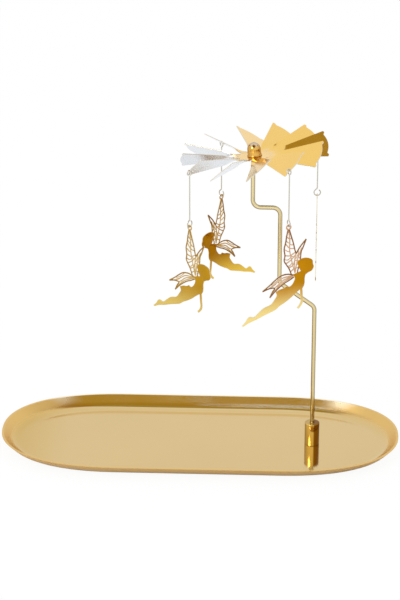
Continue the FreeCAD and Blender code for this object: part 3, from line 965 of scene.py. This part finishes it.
def changed_along(material, axis, tone, low, high):
    # another tone takes over between two places along an axis
    tree = material.node_tree
    mix = add_node(tree, "ShaderNodeMix", (-150, 700), data_type="RGBA")
    mix.name = "changed"
    mix.inputs[7].default_value = srgb(*tone)
    wired(tree, (coordinate_ramp(tree, axis, low, high, 700), 0, mix, 0),
          (tree.nodes["finish"], "Color", mix, 6),
          (mix, 2, tree.nodes["Principled BSDF"], "Base Color"))


def spotted(material, tone, scale, share):
    # brown spots, scattered by a noise mask
    tree = material.node_tree
    spots = add_node(tree, "ShaderNodeTexNoise", (-700, 950))
    spots.inputs["Scale"].default_value = scale
    spots.inputs["Detail"].default_value = 2.0
    ramp = add_node(tree, "ShaderNodeMapRange", (-400, 950))
    ramp.inputs["From Min"].default_value = share
    ramp.inputs["From Max"].default_value = share + 0.08
    mix = add_node(tree, "ShaderNodeMix", (-20, 950), data_type="RGBA")
    mix.inputs[7].default_value = srgb(*tone)
    wired(tree, (tree.nodes["Texture Coordinate"], "Object", spots, "Vector"),
          (spots, "Fac", ramp, "Value"), (ramp, 0, mix, 0), (tree.nodes["changed"], 2, mix, 6),
          (mix, 2, tree.nodes["Principled BSDF"], "Base Color"))


def wear(piece, *materials):
    piece.data.materials.clear()
    for material in materials:
        piece.data.materials.append(material)


# %% [markdown]
# The tray's wall is painted warmer than its floor, a painted reflection, and is less glossy.
# It is painted palest along the far side, a painted reflection of a bright room, and the left
# end of the floor is painted warmer, a painted reflection too. Ramps along the object's own axes
# carry these tones.

# %% The tray's wall and left end
wall_rise = (0.8, 3.6)
far_side = (30.0, 35.0)
left_floor = (-60.0, -90.0)
right_end = (55.0, 80.0)
left_end = (-55.0, -80.0)


def painted_wall_reflections_and_gloss(material, wall_reflection_tone, far_reflection_tone, left_end_reflection_tone, wall_roughness, end_roughness):
    tree = material.node_tree
    shader = tree.nodes["Principled BSDF"]
    finish = tree.nodes["finish"]
    # painted reflections: warmer wall, palest far side and warmer left end of the floor
    up = coordinate_ramp(tree, "Z", *wall_rise, 500)
    back = coordinate_ramp(tree, "Y", *far_side, 750)
    walls = add_node(tree, "ShaderNodeMix", (-250, 600), data_type="RGBA")
    walls.inputs[6].default_value = srgb(*wall_reflection_tone)
    walls.inputs[7].default_value = srgb(*far_reflection_tone)
    all_over = add_node(tree, "ShaderNodeMix", (-50, 450), data_type="RGBA")
    left = coordinate_ramp(tree, "X", *left_floor, 1000)
    floor_mix = add_node(tree, "ShaderNodeMix", (-250, 850), data_type="RGBA")
    floor_mix.inputs[7].default_value = srgb(*left_end_reflection_tone)
    far_out = add_node(tree, "ShaderNodeMath", (-700, 1250), operation="ADD")
    right = coordinate_ramp(tree, "X", *right_end, 1150)
    far_left = coordinate_ramp(tree, "X", *left_end, 1350)
    extra = add_node(tree, "ShaderNodeMath", (-450, 1250), operation="MULTIPLY_ADD")
    extra.inputs[1].default_value = end_roughness
    extra.inputs[2].default_value = wall_roughness
    rough = add_node(tree, "ShaderNodeMath", (-250, 100), operation="MULTIPLY_ADD")
    wired(tree, (back, 0, walls, 0), (up, 0, all_over, 0), (left, 0, floor_mix, 0),
          (finish, "Color", floor_mix, 6), (floor_mix, 2, all_over, 6), (walls, 2, all_over, 7),
          (all_over, 2, shader, "Base Color"), (right, 0, far_out, 0), (far_left, 0, far_out, 1),
          (far_out, 0, extra, 0), (up, 0, rough, 0), (extra, 0, rough, 1),
          (finish, "Roughness", rough, 2), (rough, 0, shader, "Roughness"))


# %% Tray, rod, socket and screw finishes
tray_finish = metal("tray_plating", (219, 191, 135), (210, 183, 129), (18.0, 0.8), (0.07, 0.13),
                    60.0, (9.0, 0.05))
rod_finish = metal("rod_plating", (243, 228, 180), (232, 212, 156), (60.0, 0.8), (0.08, 0.16),
                   200.0, (40.0, 0.01), (1, 1, 0.2))
socket_finish = metal("turned_brass", (255, 228, 140), (250, 212, 116), (80.0, 0.7), (0.08, 0.16),
                      260.0, (300.0, 0.004), (0.2, 0.2, 6.0))
screw_finish = metal("zinc_screw", (190, 192, 196), (150, 152, 158), (300.0, 0.8), (0.25, 0.4),
                     500.0, (200.0, 0.01))
# painted reflections on the tray's wall, far side and left end
painted_wall_reflections_and_gloss(tray_finish, (223, 187, 116), (248, 236, 205), (208, 176, 108), 0.06, 0.22)
wear(tray, tray_finish)
# painted shade along the rod's sides, where they turn away from the eye
wear(rod, painted_edge_shade(rod_finish, (112, 90, 40), 0.76))
# painted reflection: the socket's right side is painted dark brown, standing for dark surroundings
# it mirrors
changed_along(socket_finish, "X", (150, 104, 18), socket_x + 0.4, socket_x + 1.2)
# painted shade at the socket's sides, where they turn away from the eye
wear(socket, painted_edge_shade(socket_finish, (100, 54, 0), 0.5))
wear(frame["nodes"]["tray_screw"], screw_finish)

# %% Wheel, cap, hanger and fairy finishes
wheel_top = metal("wheel_gold_face", (246, 206, 116), (236, 196, 112), (50.0, 0.8), (0.1, 0.2),
                  120.0, (30.0, 0.02))
wheel_under = metal("wheel_silver_face", (227, 230, 235), (206, 211, 217), (50.0, 0.8),
                    (0.14, 0.24), 120.0, (30.0, 0.02))
wheel_edge = metal("wheel_cut_edge", (226, 220, 204), (204, 198, 184), (200.0, 0.8),
                   (0.2, 0.34), 300.0, (60.0, 0.01))
cap_finish = metal("cap_plating", (246, 206, 120), (214, 158, 58), (240.0, 0.9), (0.03, 0.08),
                   300.0, (60.0, 0.004))
wire_finish = metal("hanger_nickel", (206, 202, 188), (176, 172, 156), (300.0, 0.8), (0.12, 0.22),
                    400.0, (200.0, 0.004))
wear(wheel, wheel_top, wheel_under, wheel_edge)
for face in wheel.data.polygons:
    face.material_index = 1 if face.index in under_faces else 0
    if face.index >= 2 * sheet_faces:
        face.material_index = 2
wear(cap, cap_finish)
# painted highlight: the top of the dome is painted silver-white
changed_along(cap_finish, "Z", (236, 232, 222), 151.6, 153.4)
spotted(cap_finish, (120, 78, 34), 700.0, 0.56)
# painted shade where the dome turns away from the eye
painted_edge_shade(cap_finish, (140, 84, 10), 0.5)
for station in stations:
    wear(bpy.data.objects["hanger_wire_" + station], wire_finish)

# %% [markdown]
# The figures are painted paler towards the legs and deeper amber towards the head, a painted
# reflection. A ramp on the height in the object's own coordinates carries that, the same on all
# sides. Each figure has its own shade, and the etched veins of the wings are browner than the
# body.

# %% Fairy finishes
amber_tones = {"far_right": (216, 170, 80), "far_left": (172, 114, 6),
               "near_left": (194, 145, 32), "near_right": (204, 140, 15)}
painted_pale_tones = {"far_right": (238, 205, 110), "far_left": (228, 190, 74),
              "near_left": (218, 190, 104), "near_right": (242, 218, 140)}
vein_tones = {"far_right": (232, 214, 176), "far_left": (204, 160, 88),
              "near_left": (214, 178, 108), "near_right": (222, 176, 136)}
edge_tones = {"far_right": (226, 200, 150), "far_left": (150, 104, 34),
              "near_left": (170, 128, 50), "near_right": (148, 98, 56)}
pale_from = 27.0
pale_to = 43.0


def deeper(tone, share):
    return tuple(share * v for v in tone)


def etched(name, tone, deep):
    return metal(name, tone, deep, (200.0, 0.9), (0.2, 0.3), 300.0, (80.0, 0.02))


cut_finish = etched("fairy_etched_edge", (240, 230, 204), (226, 212, 178))
for station in stations:
    fairy = bpy.data.objects["fairy_metal_" + station]
    joint = joint_places["fairy_swing_" + station]
    tone = amber_tones[station]
    body_finish = metal("fairy_amber_" + station, tone, deeper(tone, 0.84),
                        (110.0, 0.9), (0.12, 0.22), 160.0, (50.0, 0.02))
    ring_z = joint["pos_m"][2] / mm
    # painted reflection: paler towards the legs
    changed_along(body_finish, "Z", painted_pale_tones[station], ring_z - pale_from, ring_z - pale_to)
    vein_finish = etched("fairy_vein_" + station, vein_tones[station],
                         deeper(vein_tones[station], 0.8))
    edge_finish = etched("fairy_wing_edge_" + station, edge_tones[station],
                         deeper(edge_tones[station], 0.8))
    wear(fairy, body_finish, vein_finish, edge_finish, cut_finish)
    across_sheet = Vector(joint["axis"])
    for face in fairy.data.polygons:
        face.material_index = 0 if face.index < fairy_solid_faces else 1
        if 0 <= face.index - fairy_solid_faces < fairy_edge_faces:
            face.material_index = 2
        if abs(face.normal.dot(across_sheet)) < 0.5:
            face.material_index = 3

# %% [markdown]
# ## Floor, light and camera
# Polished metal shows its surroundings, so the surroundings are part of the finish: white all
# round, and two dark patches overhead, which the far wall of the tray and one of the blades
# mirror as deep gold.

# %% Floor
nothing_selected()
bpy.ops.mesh.primitive_circle_add(vertices=96, radius=4.0, fill_type="NGON", location=(0, 0, 0))
floor = bpy.context.object
floor.name = "studio_floor"
floor_look = bpy.data.materials.new("studio_floor")
floor_look.use_nodes = True
floor_tree = floor_look.node_tree
floor_shader = floor_tree.nodes["Principled BSDF"]
floor_shader.inputs["Base Color"].default_value = (0.92, 0.92, 0.92, 1)
floor_shader.inputs["Roughness"].default_value = 0.9
floor_shader.inputs["Specular IOR Level"].default_value = 0.0
floor_glow = add_node(floor_tree, "ShaderNodeEmission", (0, -300))
floor_glow.inputs["Strength"].default_value = 1.0
floor_path = add_node(floor_tree, "ShaderNodeLightPath", (-600, 300))
floor_share = add_node(floor_tree, "ShaderNodeMath", (-150, 300), operation="MULTIPLY")
floor_share.inputs[1].default_value = 0.93
floor_mix = add_node(floor_tree, "ShaderNodeMixShader", (250, 0))
floor_out = floor_tree.nodes["Material Output"]
wired(floor_tree, (floor_path, "Is Camera Ray", floor_share, 0), (floor_share, 0, floor_mix, 0),
      (floor_shader, 0, floor_mix, 1), (floor_glow, 0, floor_mix, 2),
      (floor_mix, 0, floor_out, "Surface"))
floor.data.materials.append(floor_look)

# %% Surroundings
world = bpy.data.worlds.new("studio")
bpy.context.scene.world = world
world.use_nodes = True
sky = world.node_tree
background = sky.nodes["Background"]
direction = add_node(sky, "ShaderNodeTexCoord", (-1400, 0))


def patch(centre, radius, softness, row):
    # one inside a cone of directions, nought outside
    aim = Vector(centre).normalized()
    dot = add_node(sky, "ShaderNodeVectorMath", (-1100, row), operation="DOT_PRODUCT")
    dot.inputs[1].default_value = aim
    sky.links.new(direction.outputs["Generated"], dot.inputs[0])
    ramp = add_node(sky, "ShaderNodeMapRange", (-850, row), interpolation_type="SMOOTHSTEP")
    ramp.inputs["From Min"].default_value = math.cos(math.radians(radius + softness))
    ramp.inputs["From Max"].default_value = math.cos(math.radians(radius - softness))
    sky.links.new(dot.outputs["Value"], ramp.inputs["Value"])
    return ramp.outputs[0]


def layered(base, mask, colour, row):
    mix = add_node(sky, "ShaderNodeMix", (-550, row), data_type="RGBA")
    mix.inputs[7].default_value = (*colour, 1)
    if isinstance(base, tuple):
        mix.inputs[6].default_value = base
    else:
        sky.links.new(base, mix.inputs[6])
    sky.links.new(mask, mix.inputs[0])
    return mix.outputs[2]


patch_softness = 3
dark_patches = [((-0.02, -0.326, 0.945), 27, (0.40, 0.23, 0.02)),
                ((-0.12, 0.09, 0.988), 9, (0.42, 0.31, 0.06))]
level = (1, 1, 1, 1)
for index, (centre, radius, colour) in enumerate(dark_patches):
    mask = patch(centre, radius, patch_softness, 300 + 150 * index)
    level = layered(level, mask, colour, 300 - 100 * index)
sight = add_node(sky, "ShaderNodeLightPath", (-550, 600))
seen = add_node(sky, "ShaderNodeMix", (-250, 300), data_type="RGBA")
seen.inputs[7].default_value = (1, 1, 1, 1)
plain = add_node(sky, "ShaderNodeMath", (-400, 600), operation="MAXIMUM")
sky.links.new(level, seen.inputs[6])
wired(sky, (sight, "Is Camera Ray", plain, 0), (sight, "Is Diffuse Ray", plain, 1),
      (plain, 0, seen, 0), (seen, 2, background, "Color"))
background.inputs["Strength"].default_value = 1.0


# %% Soft lamp
def soft_lamp(name, place_at, size, power, target=(0.02, 0, 0.07)):
    lamp = bpy.data.lights.new(name, "AREA")
    lamp.shape = "DISK"
    lamp.size = size
    lamp.energy = power
    thing = bpy.data.objects.new(name, lamp)
    thing.location = place_at
    thing.rotation_euler = (Vector(target) - Vector(place_at)).to_track_quat("-Z", "Y").to_euler()
    bpy.context.collection.objects.link(thing)


soft_lamp("key_soft", (-0.7, -0.9, 1.0), 0.6, 5.0)

# %% Camera
eye = Vector((47.18, -1046.61, 531.27)) * mm
pitch = math.radians(23.551)
yaw = math.radians(-2.577)
focal_pixels = 2439.6
picture_rows = 600
sensor_height = 24.0
camera_data = bpy.data.cameras.new("view")
camera_data.sensor_fit = "VERTICAL"
camera_data.sensor_height = sensor_height
camera_data.lens = focal_pixels * sensor_height / picture_rows
camera_data.clip_start = 0.05
camera_data.clip_end = 50.0
camera = bpy.data.objects.new("view", camera_data)
bpy.context.collection.objects.link(camera)
camera.location = eye
camera.rotation_euler = (math.pi / 2 - pitch, 0, -yaw)
bpy.context.scene.camera = camera
bpy.context.scene.view_settings.view_transform = "Standard"
